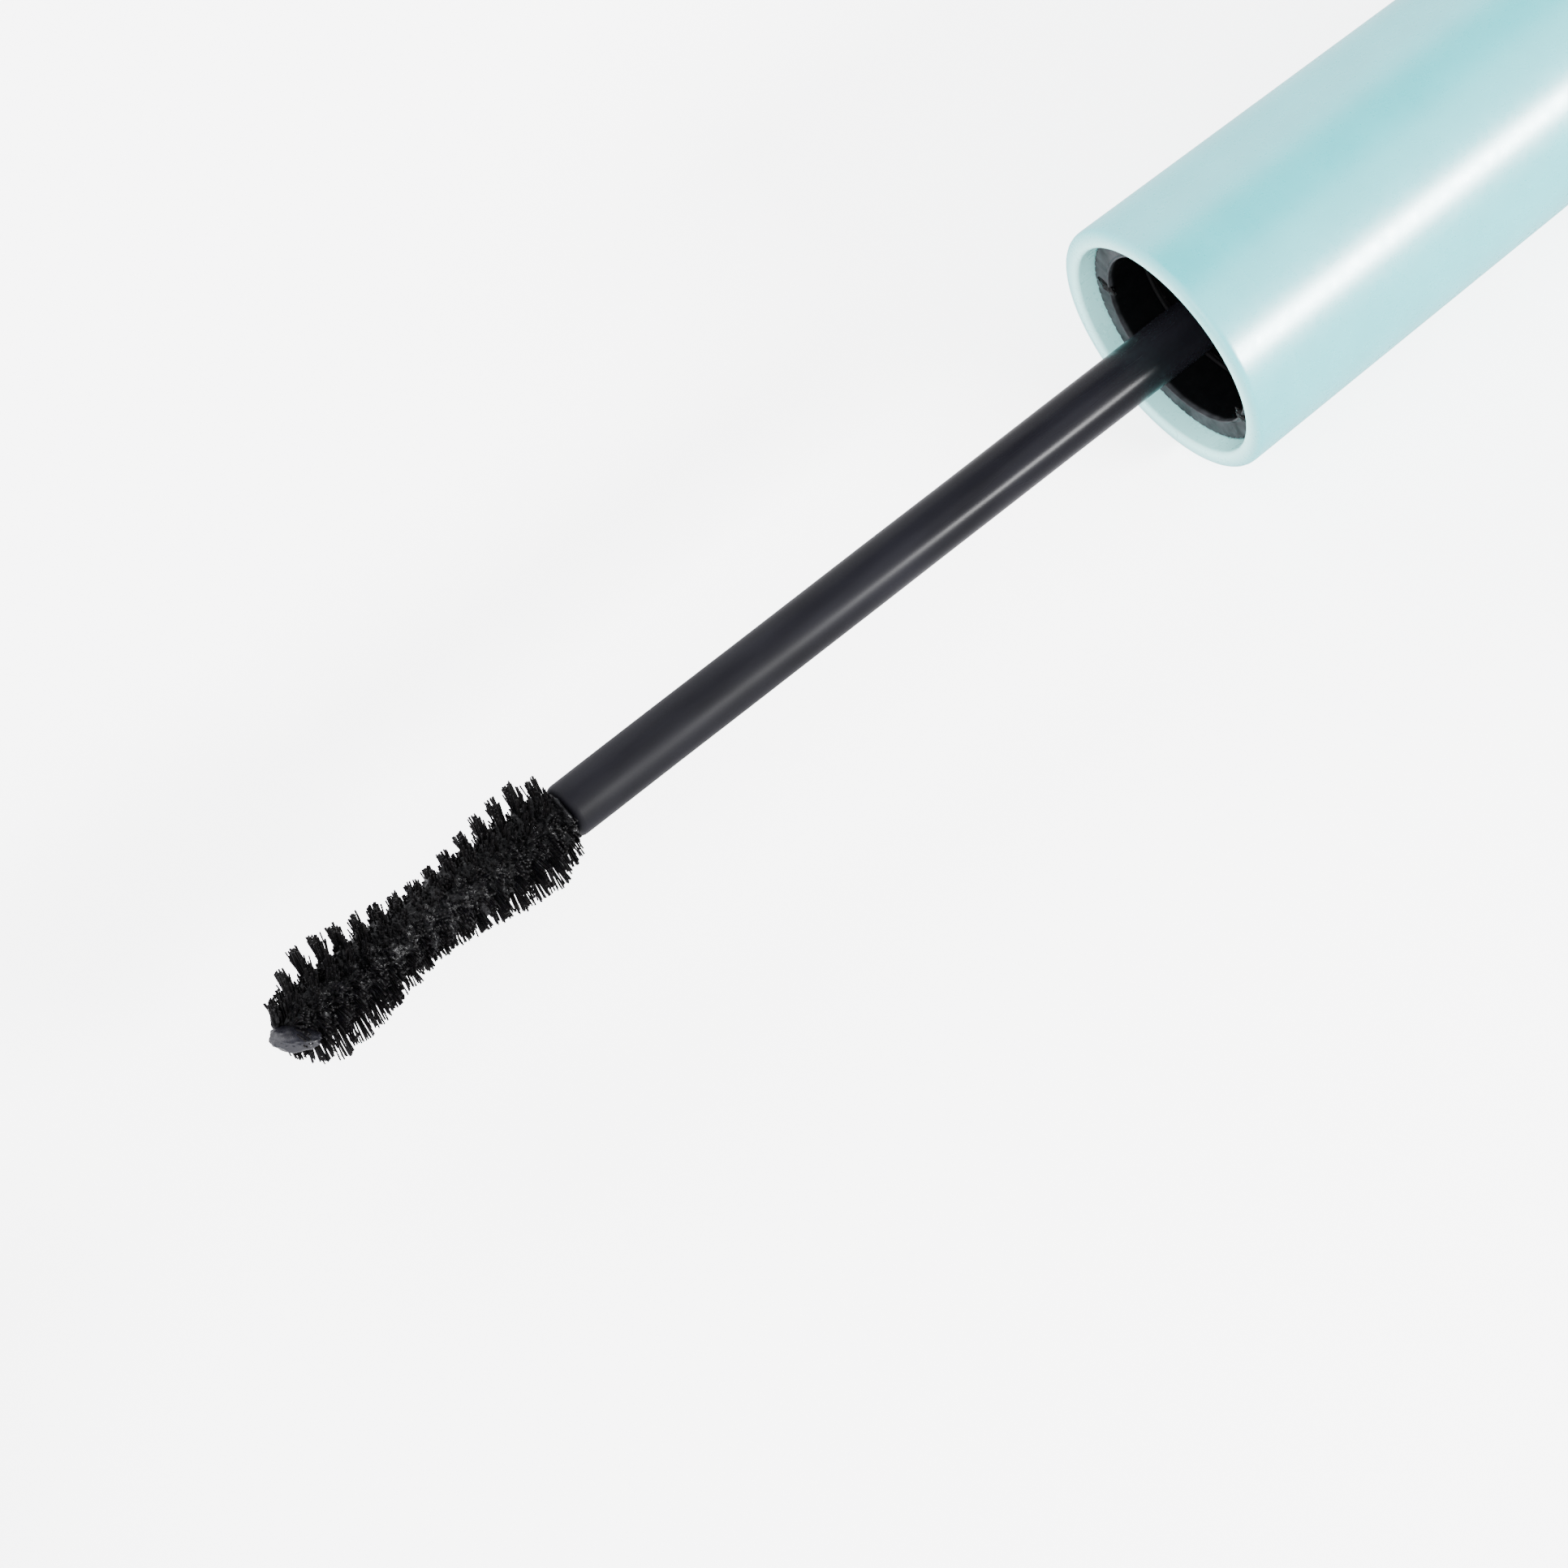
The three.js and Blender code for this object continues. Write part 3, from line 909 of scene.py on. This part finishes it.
def add_lights():
    """A low strip that draws the long highlight, and two wide soft boxes that only fill."""
    strip_way = Vector((0.0, -0.891, 0.454))
    back_way = Vector((0.0, 0.927, 0.375))
    end_way = Vector((-0.9, -0.1, 0.42)).normalized()
    add_area_light("strip", strip_way, distance=0.45, size=(0.34, 0.075), power=9.9,
                   along=0.245, in_reflections=True)
    add_area_light("back_box", back_way, distance=0.83, size=(1.2, 0.5), power=17.0)
    add_area_light("end_box", end_way, distance=1.0, size=(0.7, 0.5), power=17.0)


def add_room():
    """The room round the stage: bright at the sides, dark over the pack, and plain white to the camera."""
    world = bpy.data.worlds.new("room")
    world.use_nodes = True
    room = Nodes(world.node_tree)
    background = room.tree.nodes["Background"]
    background.inputs["Color"].default_value = (*ROOM_COLOR, 1)
    way = room.node("ShaderNodeTexCoord").outputs["Generated"]
    toward = room.node("ShaderNodeVectorMath", operation="DOT_PRODUCT")
    toward.inputs[1].default_value = ROOM_TOP_WAY
    room.link(way, toward.inputs[0])
    height = room.node("ShaderNodeSeparateXYZ")
    room.link(way, height.inputs["Vector"])
    above = room.spread(toward.outputs["Value"], 1, ROOM_TOP / ROOM_SIDES,
                        math.cos(ROOM_TOP_EDGE), math.cos(ROOM_TOP_CORE), "SMOOTHSTEP")
    rise = room.spread(height.outputs["Z"], ROOM_BELOW, ROOM_SIDES,
                       -ROOM_HORIZON, ROOM_HORIZON, "SMOOTHSTEP")
    lighting = room.combined("MULTIPLY", above, rise)
    path = room.node("ShaderNodeLightPath")
    seen = room.spread(path.outputs["Is Camera Ray"], 0, ROOM_SEEN, 0, 1)
    room.link(room.combined("MAXIMUM", lighting, seen), background.inputs["Strength"])
    bpy.context.scene.world = world


def add_camera():
    """Looks down on the applicator with the picture's top edge level; the cap runs out of the upper right."""
    forward = Vector((-math.sin(CAMERA_AZIMUTH) * math.cos(CAMERA_ELEVATION),
                      math.cos(CAMERA_AZIMUTH) * math.cos(CAMERA_ELEVATION),
                      -math.sin(CAMERA_ELEVATION)))
    camera = bpy.data.cameras.new("camera")
    camera.sensor_width = CAMERA_SENSOR
    camera.lens = CAMERA_LENS
    camera.clip_start = 0.01
    camera.clip_end = 20
    obj = bpy.data.objects.new("camera", camera)
    obj.location = CAMERA_AIM - forward * CAMERA_DISTANCE
    obj.rotation_euler = (math.pi / 2 - CAMERA_ELEVATION, 0, CAMERA_AZIMUTH)
    bpy.context.scene.collection.objects.link(obj)
    bpy.context.scene.camera = obj


# ======================================================================================
# Assembly
# ======================================================================================

def build():
    """Makes every piece and dresses it. Product that clings to a piece rides with it."""
    aqua = aqua_plastic()
    black = black_plastic()
    dull = liner_plastic()
    nylon = bristle_nylon()
    wet = wet_residue()
    drawn = drawn_residue()

    dress(bottle_shell(), aqua, "bottle", "aqua_plastic", "bottle_shell")
    dress(inner_vial(), black, "bottle", "black_plastic", "inner_vial")
    neck_thread = ridge("neck_thread", SHOULDER_X, NECK_R, size=0.45, start=5.0)
    dress(neck_thread, black, "bottle", "black_plastic")
    dress(neck_wiper(), wiper_plastic(), "bottle", "wiper_plastic", "neck_wiper")

    dress(cap_gasket(), gasket_foam(), "gasket", "gasket_foam", "cap_gasket")

    dress(cap_shell(), aqua_with_painted_lip_glow(), "applicator", "aqua_plastic", "cap_shell")
    dress(inner_cap(), dull, "applicator", "black_plastic", "inner_cap")
    liner_thread = ridge("liner_thread", MOUTH_X, LINER_BORE, size=0.2, start=3.6)
    dress(liner_thread, dull, "applicator", "black_plastic")
    dress(wand_stem(), black, "applicator", "black_plastic", "wand_stem")
    dress(twisted_wire(), wire_steel(), "applicator", "wire_steel", "brush_wire")
    for piece in bristles():
        dress(piece, nylon, "applicator", "bristle_nylon", "bristle_pack")
    dress(residue_core(), wet, "applicator", "bristle_nylon")
    for piece, material in tip_residue(drawn, wet):
        dress(piece, material, "applicator", "bristle_nylon")
    for piece in mouth_residue():
        dress(piece, wet, "applicator", "bristle_nylon")


build()
add_floor()
add_lights()
add_room()
add_camera()
